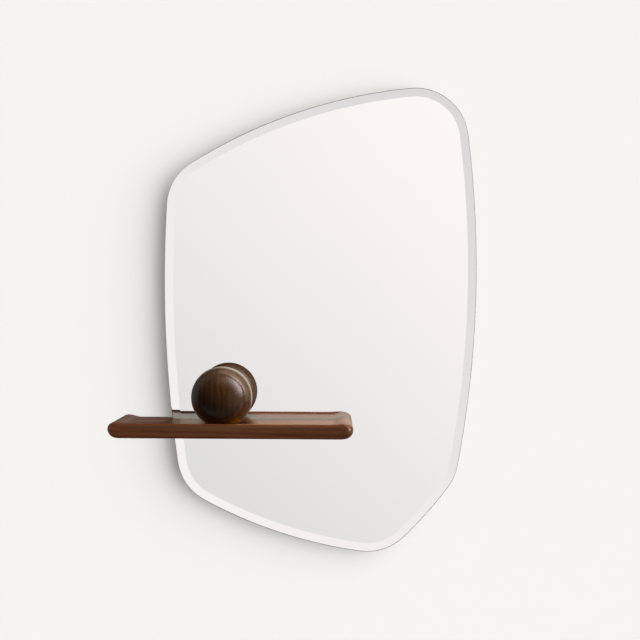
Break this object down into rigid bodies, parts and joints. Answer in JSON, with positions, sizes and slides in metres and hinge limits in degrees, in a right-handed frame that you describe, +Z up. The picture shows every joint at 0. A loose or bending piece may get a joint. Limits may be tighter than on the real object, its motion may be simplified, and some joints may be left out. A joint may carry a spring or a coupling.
{
  "type": "mirror with shelf",
  "caption": "Free-form bevelled wall mirror with a dished wooden shelf across its lower left edge and a flat-bottomed wooden ball standing on the shelf.",
  "frame": {"origin": "on the wall plane, midway between the two screws that hold the wall rail", "axes": "+Z up, +Y into the wall, so the mirror faces -Y, +X to the right of someone who faces the mirror"},
  "size_m": [0.6161, 0.1456, 0.801],
  "materials": {
    "mirror": "polished, silvered glass with a bevelled edge",
    "film": "grey safety film",
    "tape": "black foam tape",
    "board": "fibreboard, painted matt black",
    "alloy": "mill finish, extruded",
    "steel": "zinc plated",
    "rubber": "matt",
    "nylon": "natural nylon",
    "walnut": "satin lacquered walnut",
    "dark_walnut": "glossier lacquered dark walnut",
    "felt": "pressed felt"
  },
  "bodies": {
    "wall_rail": {"wall_rail": "alloy"},
    "mirror": {"mirror_glass": "mirror", "safety_film": "film", "bonding_tape": "tape", "backing_board": "board", "mirror_rail": "alloy", "mirror_rail_screws": "steel", "wall_bumpers": "rubber", "bumper_screws": "steel", "bracket_plate": "steel", "bracket_screws": "steel", "shelf_rods": "steel", "rod_bolts": "steel", "glass_bushes": "nylon", "shelf": "walnut", "shelf_lock_screws": "steel", "shelf_wall_pad": "felt", "ball": "dark_walnut", "ball_screw": "steel", "ball_washer": "steel"}
  },
  "joints": [
    {"name": "rail_lift", "type": "slide", "parent": "wall_rail", "child": "mirror", "axis": [0, 0, 1], "range_m": [0, 0.013]}
  ]
}
